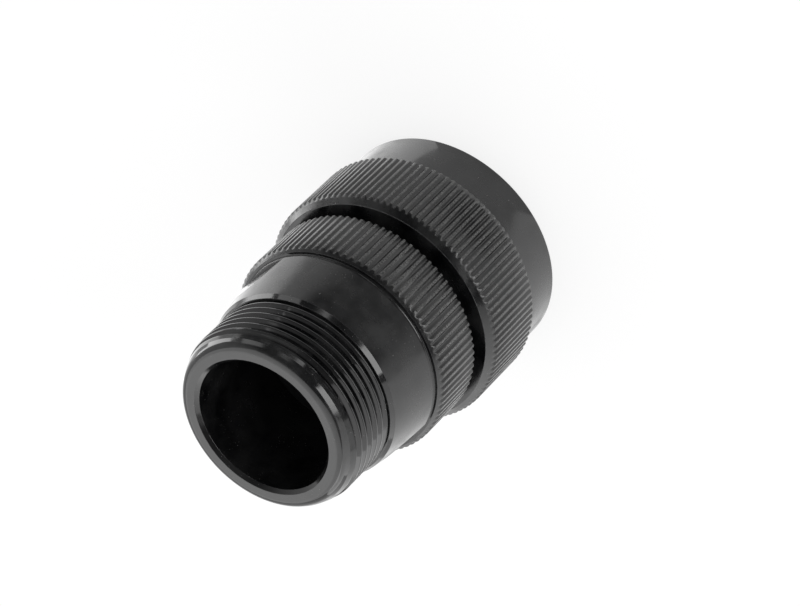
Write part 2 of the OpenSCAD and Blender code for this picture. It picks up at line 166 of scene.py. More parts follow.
def lathe(name, *runs, open_arc=False):
    """A closed mesh object from runs of rows: each row is joined to the next, the last to the first.

    The first and the last row lie on one straight stretch of the section. A row may have three times
    the vertices of its neighbour. An open arc ends in two flat caps.
    """
    rows, climbs = [], []
    for run in runs:
        first, last = len(rows), len(rows) + len(run) - 1
        rows.extend(run)
        climbs.extend([(getattr(run, "climb", 0), first, last)] * len(run))
    starts = np.cumsum([0] + [len(r) for r in rows])
    table = np.concatenate(rows)
    places, index = np.unique(np.round(table[:, :3], 5), axis=0, return_inverse=True)
    index = index.ravel()
    rub = np.zeros(len(places))
    np.maximum.at(rub, index, table[:, 3])
    rings = [index[a:b].tolist() for a, b in zip(starts[:-1], starts[1:])]

    faces = []
    for i, here in enumerate(rings):
        after = rings[(i + 1) % len(rings)]
        climb, first, last = climbs[i]
        here_end, after_end = here[0], after[0]
        if climb and i < last:
            here_end = rings[min(max(i + climb, first), last)][0]
            after_end = rings[min(max(i + 1 + climb, first), last)][0]
        fine_here = max(1, len(here) // len(after))
        fine_after = max(1, len(after) // len(here))
        here, after = here + [here_end], after + [after_end]
        if open_arc:
            here, after = here[:-1], after[:-1]
        for c in range((len(here) - 1) // fine_here):
            lower = here[c * fine_here:(c + 1) * fine_here + 1]
            upper = after[c * fine_after:(c + 1) * fine_after + 1]
            loop = lower + upper[::-1]
            loop = [v for k, v in enumerate(loop) if v != loop[k - 1]]
            if len(set(loop)) > 2:
                faces.append(loop)
    if open_arc:
        faces.append([ring[0] for ring in rings])
        faces.append([ring[-1] for ring in rings][::-1])

    mesh = bpy.data.meshes.new(name)
    mesh.from_pydata((places * MM).tolist(), [], faces)
    mesh.attributes.new("rub", "FLOAT", "POINT").data.foreach_set("value", rub.astype(np.float32))
    finish_mesh(mesh)
    piece = bpy.data.objects.new(name, mesh)
    bpy.context.scene.collection.objects.link(piece)
    return piece


def finish_mesh(mesh):
    """Turns all faces outwards, and shades them smooth up to the sharp edges."""
    work = bmesh.new()
    work.from_mesh(mesh)
    bmesh.ops.recalc_face_normals(work, faces=work.faces)
    for face in work.faces:
        face.smooth = True
    for edge in work.edges:
        edge.smooth = edge.smooth and edge.calc_face_angle(0) < SHARP_ANGLE
    work.to_mesh(mesh)
    work.free()


def add(tree, kind, inputs=None, **settings):
    """A new shader node. An input given as another node's socket is linked, any other is set."""
    made = tree.nodes.new(kind)
    for key, value in settings.items():
        setattr(made, key, value)
    for key, value in (inputs or {}).items():
        if isinstance(value, bpy.types.NodeSocket):
            tree.links.new(value, made.inputs[key])
        else:
            made.inputs[key].default_value = value
    return made


def math_node(tree, operation, *values):
    """The result of a Math node."""
    return add(tree, "ShaderNodeMath", dict(enumerate(values)), operation=operation).outputs[0]


def blend_colour(tree, share, under, over):
    """A colour between two others, by a share that changes over the surface."""
    mix = add(tree, "ShaderNodeMix", {0: share, 6: under, 7: over}, data_type="RGBA")
    return mix.outputs[2]


def effect_group(name, inputs, output):
    """A new shader group with number inputs {name: value} and one number as output.

    Returns the group, its input sockets and the socket that takes the result.
    """
    group = bpy.data.node_groups.new(name, "ShaderNodeTree")
    for label, value in inputs.items():
        socket = group.interface.new_socket(label, in_out="INPUT", socket_type="NodeSocketFloat")
        socket.default_value = value
    group.interface.new_socket(output, in_out="OUTPUT", socket_type="NodeSocketFloat")
    given = group.nodes.new("NodeGroupInput").outputs
    return group, given, group.nodes.new("NodeGroupOutput").inputs[0]


def effect(tree, group, **inputs):
    """An effect group placed in a material with its own values; returns its result."""
    named = {key.replace("_", " "): value for key, value in inputs.items()}
    return add(tree, "ShaderNodeGroup", named, node_tree=group).outputs[0]


# Tool lines: what a lathe leaves, fine lines round the axis that waver a little along their way.
turning_lines, given, result = effect_group("turning_lines", {"per mm": 6.0, "waver": 1.5}, "Lines")
spot = add(turning_lines, "ShaderNodeTexCoord").outputs["Object"]
parts = add(turning_lines, "ShaderNodeSeparateXYZ", {0: spot}).outputs
flat = add(turning_lines, "ShaderNodeCombineXYZ", {0: parts[0], 1: parts[1]}).outputs[0]
radius = add(turning_lines, "ShaderNodeVectorMath", {0: flat}, operation="LENGTH").outputs["Value"]
spoke = add(turning_lines, "ShaderNodeVectorMath", {0: flat}, operation="NORMALIZE").outputs[0]
spoke = add(turning_lines, "ShaderNodeSeparateXYZ", {0: spoke}).outputs
scale = math_node(turning_lines, "DIVIDE", given["per mm"], MM)
lines_at = add(turning_lines, "ShaderNodeCombineXYZ", {
    0: math_node(turning_lines, "MULTIPLY", radius, scale),
    1: math_node(turning_lines, "MULTIPLY", parts[2], scale),
    2: math_node(turning_lines, "MULTIPLY", spoke[0], given["waver"]),
}).outputs[0]
lines = add(turning_lines, "ShaderNodeTexNoise", {
    "Vector": lines_at,
    "W": math_node(turning_lines, "MULTIPLY", spoke[1], given["waver"]),
    "Scale": 1.0, "Detail": 2.0, "Roughness": 0.6,
}, noise_dimensions="4D").outputs[0]
turning_lines.links.new(lines, result)

# Cloud: a finish that is never quite even, in soft patches some millimetres across.
finish_cloud, given, result = effect_group("finish_cloud", {"per mm": 0.3}, "Cloud")
cloud = add(finish_cloud, "ShaderNodeTexNoise", {
    "Vector": add(finish_cloud, "ShaderNodeTexCoord").outputs["Object"],
    "Scale": math_node(finish_cloud, "DIVIDE", given["per mm"], MM),
    "Detail": 4.0, "Roughness": 0.55,
}).outputs[0]
cloud = add(finish_cloud, "ShaderNodeMapRange", {
    "Value": cloud, "From Min": 0.34, "From Max": 0.70}).outputs[0]
finish_cloud.links.new(cloud, result)

# Dust: separate pale specks, gathered in some places and missing in others.
handling_dust, given, result = effect_group(
    "handling_dust", {"per mm": 4.0, "amount": 0.3}, "Dust")
largest_speck, solid_core, drift_scale = 0.27, 0.4, 0.05  # shares of a cell, of a speck, of the scale
spot = add(handling_dust, "ShaderNodeTexCoord").outputs["Object"]
scale = math_node(handling_dust, "DIVIDE", given["per mm"], MM)
cells = add(handling_dust, "ShaderNodeTexVoronoi", {"Vector": spot, "Scale": scale})
chance = add(handling_dust, "ShaderNodeSeparateColor", {0: cells.outputs["Color"]}).outputs
size = math_node(handling_dust, "MULTIPLY", chance[1], largest_speck)
grain = add(handling_dust, "ShaderNodeMapRange", {
    "Value": cells.outputs["Distance"], "From Max": size, "To Min": 1.0, "To Max": 0.0,
    "From Min": math_node(handling_dust, "MULTIPLY", size, solid_core)}).outputs[0]
kept = math_node(handling_dust, "LESS_THAN", chance[0], given["amount"])
drift = add(handling_dust, "ShaderNodeTexNoise", {
    "Vector": spot, "Scale": math_node(handling_dust, "MULTIPLY", scale, drift_scale), "Detail": 3.0})
drift = add(handling_dust, "ShaderNodeMapRange", {
    "Value": drift.outputs[0], "From Min": 0.5, "From Max": 0.62}).outputs[0]
specks = math_node(handling_dust, "MULTIPLY", math_node(handling_dust, "MULTIPLY", grain, kept), drift)
handling_dust.links.new(specks, result)

# Rub: edges that are handled or slid over, worn in short broken stretches.
edge_rub, given, result = effect_group("edge_rub", {"per mm": 1.2, "amount": 0.5}, "Rub")
rubbed = add(edge_rub, "ShaderNodeAttribute", attribute_name="rub").outputs["Fac"]
broken = add(edge_rub, "ShaderNodeTexNoise", {
    "Vector": add(edge_rub, "ShaderNodeTexCoord").outputs["Object"],
    "Scale": math_node(edge_rub, "DIVIDE", given["per mm"], MM), "Detail": 3.0}).outputs[0]
broken = add(edge_rub, "ShaderNodeMapRange", {
    "Value": broken, "From Min": 0.42, "From Max": 0.66}).outputs[0]
worn = math_node(edge_rub, "MULTIPLY", math_node(edge_rub, "MULTIPLY", rubbed, broken), given["amount"])
edge_rub.links.new(worn, result)

# Ridge tops and groove floors: where the tool leaves a pressed ridge's top rough and paler, and, more
# faintly, a paler line painted along each groove floor as its reflection.
ridge_grip, given, result = effect_group("ridge_grip", {"per mm": 8.0}, "Grip_and_sheen")
tops_and_floor_sheen = add(ridge_grip, "ShaderNodeAttribute", attribute_name="ridge").outputs["Fac"]
pits = add(ridge_grip, "ShaderNodeTexNoise", {
    "Vector": add(ridge_grip, "ShaderNodeTexCoord").outputs["Object"],
    "Scale": math_node(ridge_grip, "DIVIDE", given["per mm"], MM), "Detail": 3.0}).outputs[0]
pits = add(ridge_grip, "ShaderNodeMapRange", {
    "Value": pits, "From Min": 0.40, "From Max": 0.66, "To Min": 0.05, "To Max": 1.0}).outputs[0]
ridge_grip.links.new(math_node(ridge_grip, "MULTIPLY", tops_and_floor_sheen, pits), result)

# Fine turning: surfaces finished with a finer cut than the rest, and so glossier.
fine_turning, given, result = effect_group("fine_turning", {"gain": 1.0}, "Fine")
fine = add(fine_turning, "ShaderNodeAttribute", attribute_name="fine").outputs["Fac"]
fine_turning.links.new(math_node(fine_turning, "MULTIPLY", fine, given["gain"]), result)

BLACK = (0.0015, 0.0016, 0.0019, 1)
BLACK_PALE = (0.0110, 0.0111, 0.0113, 1)
BLACK_GRIP_AND_SHEEN = (0.075, 0.075, 0.073, 1)
BLACK_WORN = (0.070, 0.070, 0.072, 1)
DUST = (0.20, 0.197, 0.19, 1)


def principled_material(name):
    """A new material with its node tree and its Principled shader."""
    made = bpy.data.materials.new(name)
    made.use_nodes = True
    return made, made.node_tree, made.node_tree.nodes["Principled BSDF"]


def roughness(tree, start, *changes):
    """A roughness that starts at a value, with changes (mask, what it adds where it is 1)."""
    for mask, change in changes:
        start = math_node(tree, "MULTIPLY_ADD", mask, change, start)
    return start


def connect(tree, shader, colour, rough, height, depth):
    """Gives a Principled shader a colour, a roughness and a relief that is depth millimetres deep."""
    relief = add(tree, "ShaderNodeBump", {
        "Strength": 1.0, "Distance": depth * MM, "Height": height}).outputs[0]
    for socket, value in (("Base Color", colour), ("Roughness", rough), ("Normal", relief)):
        tree.links.new(value, shader.inputs[socket])


def black_plating(name, lines_per_mm, line_height, smooth, dust, rub):
    """Black plating on turned aluminium: near black, satin, with tool lines, clouds and handling."""
    made, tree, shader = principled_material(name)
    lines = effect(tree, turning_lines, per_mm=lines_per_mm, waver=1.5)
    cloud = effect(tree, finish_cloud, per_mm=0.22)
    specks = effect(tree, handling_dust, per_mm=4.0, amount=dust)
    worn = effect(tree, edge_rub, per_mm=1.1, amount=rub)
    grip_and_sheen = effect(tree, ridge_grip, per_mm=4.5)
    fine = effect(tree, fine_turning, gain=1.0)
    colour = blend_colour(tree, cloud, BLACK, BLACK_PALE)
    # The grip colour is the rough ridge tops' own paler tone, and on the groove floors a painted reflection.
    for mask, tone in ((grip_and_sheen, BLACK_GRIP_AND_SHEEN), (worn, BLACK_WORN), (specks, DUST)):
        colour = blend_colour(tree, mask, colour, tone)
    rough = roughness(
        tree, smooth - 0.12, (cloud, 0.24), (lines, 0.10), (specks, 0.3), (grip_and_sheen, 0.2), (fine, -0.12))
    pit_height = 4.0  # in heights of a tool line
    height = math_node(tree, "MULTIPLY_ADD", grip_and_sheen, pit_height, lines)
    connect(tree, shader, colour, rough, height, line_height)
    shader.inputs["IOR"].default_value = 1.5
    return made


shell_flange_r, shell_front, shell_rear = span("plug_shell")
gasket_front, gasket_rear = span("interface_gasket")[1:]
lock_ring_r, lock_front, lock_rear = span("insert_lock_ring")
retainer_front, retainer_rear = span("retaining_ring")[1:]
seal_outer, seal_front, seal_rear = span("end_bell_seal")
flange_front, flange_rear = gasket_rear, span("wave_spring")[1]
shell_bore = span("front_insert")[0] + 0.05
barrel_r = shell_bore + 1.3
journal_r = shell_bore + 1.85
turning_bore = journal_r + 0.08  # of the pieces that turn on the shell
shoulder_r, shoulder_rear = shell_bore - 0.55, flange_front + 1.2
# Each groove: front, rear and radius of its floor.
retainer_groove = (retainer_front - 0.025, retainer_rear + 0.05, journal_r - 0.8)
seal_groove = (seal_front - 0.075, seal_rear + 0.075, journal_r - 0.6)
lock_groove = (lock_front - 0.05, lock_rear + 0.05, lock_ring_r + 0.05)
shell_thread = (seal_groove[1] + 0.4, shell_rear - 0.4, 0.72)  # front, rear, depth
keyway_w, keyway_depth, keyway_end = 3.2, 0.7, gasket_front

# Columns are one degree apart, with a pair at each wall of the keyway, which faces -Y.
keyway_half = math.asin(keyway_w / 2 / barrel_r)
keyway_at = 1.5 * math.pi
wall, clear_of_wall = math.radians(0.08), math.radians(0.3)
shell_angles = np.radians(np.arange(360.0))
shell_angles = shell_angles[abs(abs(shell_angles - keyway_at) - keyway_half) > clear_of_wall]
shell_angles = np.sort(np.append(shell_angles, [
    keyway_at + side * (keyway_half + step) for side in (-1, 1) for step in (0, wall)]))
in_keyway = abs(shell_angles - keyway_at) < keyway_half + wall / 2
keyway_floor = (barrel_r - keyway_depth) / np.cos(shell_angles - keyway_at)


def keyed(radius):
    """The barrel's radius at each column, lowered to the keyway's floor where it is cut."""
    return np.where(in_keyway, np.minimum(radius, keyway_floor), radius)


barrel_rows = [
    row(shell_angles, keyed(r), z, rub) for r, z, rub in rounded(
        (shell_bore, shell_front + 2), (shell_bore, shell_front, 0.25),
        (barrel_r, shell_front, 0.4), (barrel_r, keyway_end - 0.05), (barrel_r, keyway_end))]
flange_rows = turned_rows(shell_angles, rounded(
    (barrel_r, keyway_end + 0.01), (barrel_r, flange_front, -0.2), (shell_flange_r, flange_front, 0.2),
    (shell_flange_r, flange_rear, 0.2), (journal_r, flange_rear, -0.15),
    (journal_r, retainer_groove[0], 0.06), (retainer_groove[2], retainer_groove[0]),
    (retainer_groove[2], retainer_groove[1]), (journal_r, retainer_groove[1], 0.06),
    (journal_r, seal_groove[0], 0.08), (seal_groove[2], seal_groove[0], -0.1),
    (seal_groove[2], seal_groove[1], -0.1), (journal_r, seal_groove[1], 0.08),
    (journal_r, shell_thread[0])))
shell_thread_rows = thread_rows(
    COVERED_FORM, shell_angles, *shell_thread[:2], journal_r, shell_thread[2], shell_thread[0],
    fade=(0.9, 0.3))
bore_rows = turned_rows(shell_angles, rounded(
    (journal_r, shell_thread[1]), (journal_r - 0.4, shell_rear, 0.08), (shell_bore, shell_rear, 0.2),
    (shell_bore, lock_groove[1], 0.05), (lock_groove[2], lock_groove[1]),
    (lock_groove[2], lock_groove[0]), (shell_bore, lock_groove[0], 0.05),
    (shell_bore, shoulder_rear), (shoulder_r, shoulder_rear, 0.1), (shoulder_r, flange_front, 0.2),
    (shell_bore, flange_front), (shell_bore, shell_front + 3)))
shell = lathe("shell_body", barrel_rows, flange_rows, shell_thread_rows, bore_rows)
shell.data.materials.append(black_plating(
    "shell_plating", lines_per_mm=7, line_height=0.0018, smooth=0.24, dust=0.1, rub=0.3))
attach(shell, "shell")
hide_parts("plug_shell")


# Insert stack
# Three moulded discs hold the contacts: hard dark plastic at the front and rear, and between them a
# thinner amber plate that takes the contacts' collars. They are pushed into the shell from behind.

slot_colours = {m["slot"]: (*m["base_color"], 1) for m in frame["record"]["materials"]}

# Grain: the fine even pitting that a mould's own surface leaves on plastic and rubber.
moulded_grain, given, result = effect_group("moulded_grain", {"per mm": 9.0}, "Grain")
pits = add(moulded_grain, "ShaderNodeTexNoise", {
    "Vector": add(moulded_grain, "ShaderNodeTexCoord").outputs["Object"],
    "Scale": math_node(moulded_grain, "DIVIDE", given["per mm"], MM),
    "Detail": 3.0, "Roughness": 0.65}).outputs[0]
moulded_grain.links.new(pits, result)


def tinted(colour, share):
    """A colour made darker or paler by a share."""
    return tuple(min(1.0, c * share) for c in colour[:3]) + (1,)


def moulded_material(name, colour, smooth, grain_per_mm, grain_height, dust):
    """Moulded plastic or rubber: patches of slightly different tone, a fine grain, some dust."""
    made, tree, shader = principled_material(name)
    cloud = effect(tree, finish_cloud, per_mm=0.35)
    grain = effect(tree, moulded_grain, per_mm=grain_per_mm)
    specks = effect(tree, handling_dust, per_mm=2.2, amount=dust)
    tone = blend_colour(tree, cloud, tinted(colour, 0.78), tinted(colour, 1.22))
    tone = blend_colour(tree, specks, tone, DUST)
    rough = roughness(tree, smooth - 0.09, (grain, 0.18))
    connect(tree, shader, tone, rough, grain, grain_height)
    shader.inputs["IOR"].default_value = 1.5
    return made


def dress(node_name, material):
    """Gives a CAD node, whose shape is kept, its finished material."""
    piece = frame["nodes"][node_name]
    piece.data.materials.clear()
    piece.data.materials.append(material)


insert_plastic = moulded_material(
    "insert_plastic", slot_colours["insert_plastic"], 0.55, 8.0, 0.004, dust=0.12)
plate_plastic = moulded_material(
    "plate_plastic", slot_colours["plate_plastic"], 0.45, 6.0, 0.003, dust=0.05)
dress("front_insert", insert_plastic)
dress("contact_plate", plate_plastic)
dress("rear_insert", insert_plastic)


# Contacts
# Machined pins with a collar and a crimp barrel, turned from copper alloy and plated with gold. The
# collars catch in the amber plate, so each contact clicks in from behind and stays.

GOLD_DEEP = (0.78, 0.50, 0.17, 1)
contact_gold, tree, shader = principled_material("contact_gold")
lines = effect(tree, turning_lines, per_mm=9.0, waver=0.4)
cloud = effect(tree, finish_cloud, per_mm=0.8)
tone = blend_colour(tree, cloud, GOLD_DEEP, slot_colours["contact_metal"])
rough = roughness(tree, 0.12, (cloud, 0.18), (lines, 0.1))
pin_line_height = 0.0012
connect(tree, shader, tone, rough, lines, pin_line_height)
shader.inputs["Metallic"].default_value = 1.0
for node_name in frame["nodes"]:
    if node_name.startswith("contact_") and node_name != "contact_plate":
        dress(node_name, contact_gold)


# Split rings
# Two rings of spring steel, rolled and cut open: a bright one locks the insert stack in the shell, a
# blacked one sits in the shell's groove behind the coupling ring, its black deepened to paint the shade
# of the gap it sits in. Both are sprung into their grooves.

def steel_material(name, lines_per_mm, smooth, shade=1.0):
    """Rolled steel: faint lines round the ring, patches of tarnish, worn edges. A shade blackens it."""
    made, tree, shader = principled_material(name)
    lines = effect(tree, turning_lines, per_mm=lines_per_mm, waver=3.0)
    cloud = effect(tree, finish_cloud, per_mm=0.5)
    worn = effect(tree, edge_rub, per_mm=1.5, amount=0.6)
    steel = tinted(slot_colours["spring_steel"], shade)
    tone = blend_colour(tree, cloud, tinted(steel, 0.7), tinted(steel, 1.15))
    tone = blend_colour(tree, worn, tone, tinted(steel, 1.4))
    rough = roughness(tree, smooth - 0.1, (cloud, 0.2), (lines, 0.1))
    line_height = 0.0015
    connect(tree, shader, tone, rough, lines, line_height)
    shader.inputs["Metallic"].default_value = 1.0
    return made


ring_steel = steel_material("ring_steel", 5.0, 0.34)
# The retainer's steel is a blacked finish, darkened to 0.05 so that it also paints the deep shade of the gap
# between the end bell and the coupling ring.
blacked_and_shaded_steel = steel_material("blacked_and_shaded_steel", 5.0, 0.45, shade=0.05)


def split_ring(name, node_name, material, inner_r, opening, corner):
    """A ring of square section with rounded corners, cut open on the -Y side."""
    outer_r, front, rear = span(node_name)
    gap, columns = math.asin(opening / 2 / outer_r), 270
    angles = np.linspace(keyway_at + gap, keyway_at + FULL_TURN - gap, columns)
    middle = (front + rear) / 2
    section = rounded((inner_r, middle), (inner_r, front, corner), (outer_r, front, corner),
                      (outer_r, rear, corner), (inner_r, rear, corner), (inner_r, middle + 0.02))
    ring = lathe(name, turned_rows(angles, section), open_arc=True)
    ring.data.materials.append(material)
    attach(ring, "shell")
    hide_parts(node_name)


split_ring("insert_lock", "insert_lock_ring", ring_steel, shell_bore - 1.2, opening=4.0, corner=0.15)
split_ring("retainer", "retaining_ring", blacked_and_shaded_steel, retainer_groove[2] + 0.05, opening=3.0, corner=0.18)


# Rubber seals
# Black moulded rubber: a grommet with a lipped hole for each wire behind the insert, a flat gasket
# where the mating shell comes to rest, and a round ring between the shell and the end bell.

seal_rubber = moulded_material("seal_rubber", slot_colours["rubber"], 0.72, 10.0, 0.006, dust=0.35)
dress("wire_grommet", seal_rubber)
full_round = np.radians(np.arange(360.0))

gasket_r = span("interface_gasket")[0]
gasket_bore = barrel_r + 0.05
gasket = lathe("gasket", turned_rows(full_round, rounded(
    (gasket_bore, gasket_front + 0.5), (gasket_bore, gasket_front, 0.2), (gasket_r, gasket_front, 0.3),
    (gasket_r, gasket_rear, 0.12), (gasket_bore, gasket_rear, 0.12), (gasket_bore, gasket_front + 0.52))))
gasket.data.materials.append(seal_rubber)
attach(gasket, "shell")
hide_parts("interface_gasket")

seal_section_r, seal_facets = (seal_rear - seal_front) / 2, 28
seal_turns = np.linspace(0, FULL_TURN, seal_facets, endpoint=False)
bell_seal = lathe("bell_seal", turned_rows(full_round, [
    (seal_outer - seal_section_r + seal_section_r * math.cos(t),
     (seal_front + seal_rear) / 2 + seal_section_r * math.sin(t), 0.0) for t in seal_turns]))
bell_seal.data.materials.append(seal_rubber)
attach(bell_seal, "shell")
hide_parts("end_bell_seal")


# Wave spring and thrust washer
# A flat spring steel ring bent into three waves pushes a hard washer against the coupling ring's
# inner flange. The washer moves with the ring, and the spring is squeezed as the ring goes forward.

spring_r, spring_front, spring_rear = span("wave_spring")
spring_bore, spring_thickness, spring_waves = turning_bore + 0.15, 0.4, 3
spring_swing = (spring_rear - spring_front - spring_thickness) / 2
spring_wave = (spring_front + spring_rear) / 2 + spring_swing * np.cos(spring_waves * full_round)
spring_half, spring_round = spring_thickness / 2, 0.1
spring_section = rounded(
    (spring_bore, 0.0), (spring_bore, -spring_half, spring_round), (spring_r, -spring_half, spring_round),
    (spring_r, spring_half, spring_round), (spring_bore, spring_half, spring_round), (spring_bore, 0.02))
spring = lathe("spring", [
    row(full_round, r, spring_wave + rise, rub) for r, rise, rub in spring_section])
spring.data.materials.append(ring_steel)
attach(spring, "shell")
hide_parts("wave_spring")
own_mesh(spring)

washer_r, washer_front, washer_rear = span("thrust_washer")
washer = lathe("washer", turned_rows(full_round, rounded(
    (turning_bore, washer_front + 0.4), (turning_bore, washer_front, 0.12), (washer_r, washer_front, 0.15),
    (washer_r, washer_rear, 0.15), (turning_bore, washer_rear, 0.12), (turning_bore, washer_front + 0.42))))
washer.data.materials.append(steel_material("washer_steel", 8.0, 0.3))
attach(washer, "washer")
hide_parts("thrust_washer")


# Coupling ring
# The ring that a hand turns to lock the plug: turned aluminium with a smooth front sleeve, a straight
# knurl pressed between two chamfers, and three bayonet lugs inside its mouth, all plated black.

# A ridge of the knurl: a share of its pitch from its middle, and the share of the depth lost there.
RIDGE_FORM = ((-0.50, 1.0), (-0.44, 0.98), (-0.39, 0.86), (-0.20, 0.20), (-0.16, 0.05), (-0.11, 0.0),
              (0.0, 0.0), (0.11, 0.0), (0.16, 0.05), (0.20, 0.20), (0.39, 0.86), (0.44, 0.98))


def knurl_columns(ridges):
    """Angles of a knurl's columns, with the share of its depth at each of them."""
    shares, falls = np.array(RIDGE_FORM).T
    angles = FULL_TURN / ridges * (np.arange(ridges)[:, None] + shares)
    return angles.ravel(), np.tile(falls, ridges)


def knurl_rows(angles, radius, front, rear, front_slope, rear_slope, soften=0.05):
    """Rows of a knurl whose radius changes with the angle, between two chamfer cones.

    front and rear are (radius, height) points on the cones, and a slope is height over radius. The
    ridges' ends are softened where they meet the cones.
    """
    front_z = front[1] + (radius - front[0]) * front_slope
    rear_z = rear[1] - (radius - rear[0]) * rear_slope
    low = radius - soften
    return [row(angles, low, front[1] + (low - front[0]) * front_slope),
            row(angles, radius - 0.3 * soften, front_z + 0.25 * soften, 0.4),
            row(angles, radius, front_z + 1.2 * soften, 0.2),
            row(angles, radius, (front_z + rear_z) / 2, 0.1),
            row(angles, radius, rear_z - 1.2 * soften, 0.2),
            row(angles, radius - 0.3 * soften, rear_z - 0.25 * soften, 0.4),
            row(angles, low, rear[1] - (low - rear[0]) * rear_slope)]


def mark_finish(piece, crest_r, depth, fine_from):
    """Marks a knurl's rough ridge tops, its groove floors, where a reflection is painted, and the finely
    turned part above a height.
    """
    # Shares of the depth: where the tops end, where the floors start and end, and how long they fade.
    tops_end, tops_fade = 0.16, 0.12
    floors_start, floors_end, floors_fade = 0.90, 1.05, 0.08
    # A floor takes a share of a top's mark: a little roughness, and a paler line painted along it as a
    # reflection.
    floor_sheen_gain = 0.3  # a floor is less rough than a top
    reach = np.array([vertex.co.xy.length / MM for vertex in piece.data.vertices])
    depth_share = (crest_r - reach) / depth
    ridge = np.clip((tops_end - depth_share) / tops_fade, 0, 1)
    floor_sheen = np.clip((depth_share - floors_start) / floors_fade, 0, 1) * (depth_share < floors_end)
    ridge += floor_sheen_gain * floor_sheen
    fine = np.array([float(vertex.co.z / MM > fine_from) for vertex in piece.data.vertices])
    for label, values in (("ridge", ridge), ("fine", fine)):
        mark = piece.data.attributes.new(label, "FLOAT", "POINT")
        mark.data.foreach_set("value", values.astype(np.float32))


ring_crest_r, ring_front, ring_rear = span("coupling_ring")
ring_ridges, ring_knurl_depth, ring_knurl_len = 109, 0.34, 11.0
ring_chamfer_size = 1.2
ring_chamfer = (ring_crest_r, ring_rear - ring_chamfer_size)  # where it starts
sleeve_r, sleeve_rear = ring_crest_r - 1.1, ring_chamfer[1] - ring_knurl_len
ring_bore, ring_mouth = washer_r + 0.3, 0.4
ring_flange_front = washer_rear + 0.05
knurl_foot = (ring_crest_r - 0.5, sleeve_rear)
ring_fine, ring_falls = knurl_columns(ring_ridges)
ring_coarse = ring_fine[::3]
ring_root_r = ring_crest_r - ring_knurl_depth
knurl_radius = ring_crest_r - ring_knurl_depth * ring_falls

sleeve_rows = turned_rows(ring_coarse, rounded(
    (ring_bore, ring_mouth + 3), (ring_bore, ring_mouth, 0.1), (ring_bore + 0.4, ring_front, 0.1),
    (sleeve_r, ring_front, 0.3), (sleeve_r, sleeve_rear, -0.12), (knurl_foot[0], sleeve_rear)))
ring_knurl = knurl_rows(
    ring_fine, knurl_radius, knurl_foot, ring_chamfer, front_slope=0.6, rear_slope=1.0)
chamfer_top = ring_root_r - 0.16  # the chamfer's own rows start just below the grooves
ring_back_rows = turned_rows(ring_coarse, rounded(
    (chamfer_top, ring_chamfer[1] + ring_crest_r - chamfer_top),
    (ring_crest_r - ring_chamfer_size, ring_rear, 0.18),
    (turning_bore, ring_rear, 0.15), (turning_bore, ring_flange_front, 0.15),
    (ring_bore, ring_flange_front, -0.2), (ring_bore, ring_mouth + 4)))
ring = lathe("ring_body", sleeve_rows, ring_knurl, ring_back_rows)

# The lugs are blocks with rounded edges, milled from the ring's own wall.
lug_count, lug_w, lug_front, lug_rear, lug_round = 3, 3.2, 2.4, 5.0, 0.3
lug_tip_r, lug_root_r = 15.1, ring_bore + 0.25
work = bmesh.new()
work.from_mesh(ring.data)
for i in range(lug_count):
    lug_size = (lug_root_r - lug_tip_r, lug_w, lug_rear - lug_front)
    lug_middle = ((lug_root_r + lug_tip_r) / 2, 0, (lug_rear + lug_front) / 2)
    turn = Matrix.Rotation(i * FULL_TURN / lug_count, 4, "Z")
    place = turn @ Matrix.Translation(Vector(lug_middle) * MM) @ Matrix.Diagonal((*(
        side * MM for side in lug_size), 1))
    block = bmesh.ops.create_cube(work, size=1.0, matrix=place)["verts"]
    edges = {edge for vert in block for edge in vert.link_edges}
    bmesh.ops.bevel(work, geom=list(edges), offset=lug_round * MM, segments=4, profile=0.5,
                    affect="EDGES")
work.to_mesh(ring.data)
work.free()
finish_mesh(ring.data)
mark_finish(ring, ring_crest_r, ring_knurl_depth, fine_from=ring_rear)
ring.data.materials.append(black_plating(
    "ring_plating", lines_per_mm=5, line_height=0.0016, smooth=0.22, dust=0.2, rub=0.3))
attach(ring, "ring")
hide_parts("coupling_ring")


# Grommet follower
# A turned slip ring of dark plastic, clipped into the end bell by its rim. It presses the grommet as
# the end bell is screwed on, without turning on it.

follower_rim_r, follower_front, follower_rear = span("grommet_follower")
skirt_r, rim_front = shell_bore - 0.16, follower_rear - 1.2
follower_bore = skirt_r - 1.2
follower = lathe("follower", turned_rows(full_round, rounded(
    (follower_bore, follower_front + 1), (follower_bore, follower_front, 0.25),
    (skirt_r, follower_front, 0.2), (skirt_r, rim_front, -0.12), (follower_rim_r, rim_front, 0.15),
    (follower_rim_r, follower_rear, 0.3), (follower_bore, follower_rear, 0.25),
    (follower_bore, follower_front + 1.1))))
follower.data.materials.append(moulded_material(
    "follower_plastic", tinted(slot_colours["follower_plastic"], 0.35), 0.45, 5.0, 0.003, dust=0.15))
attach(follower, "follower")
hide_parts("grommet_follower")


# End bell
# The rear half, screwed on the shell: turned aluminium with a knurl, a round groove, a tapered body
# with two milled wrench flats, and a threaded neck for a cable clamp, all plated black.

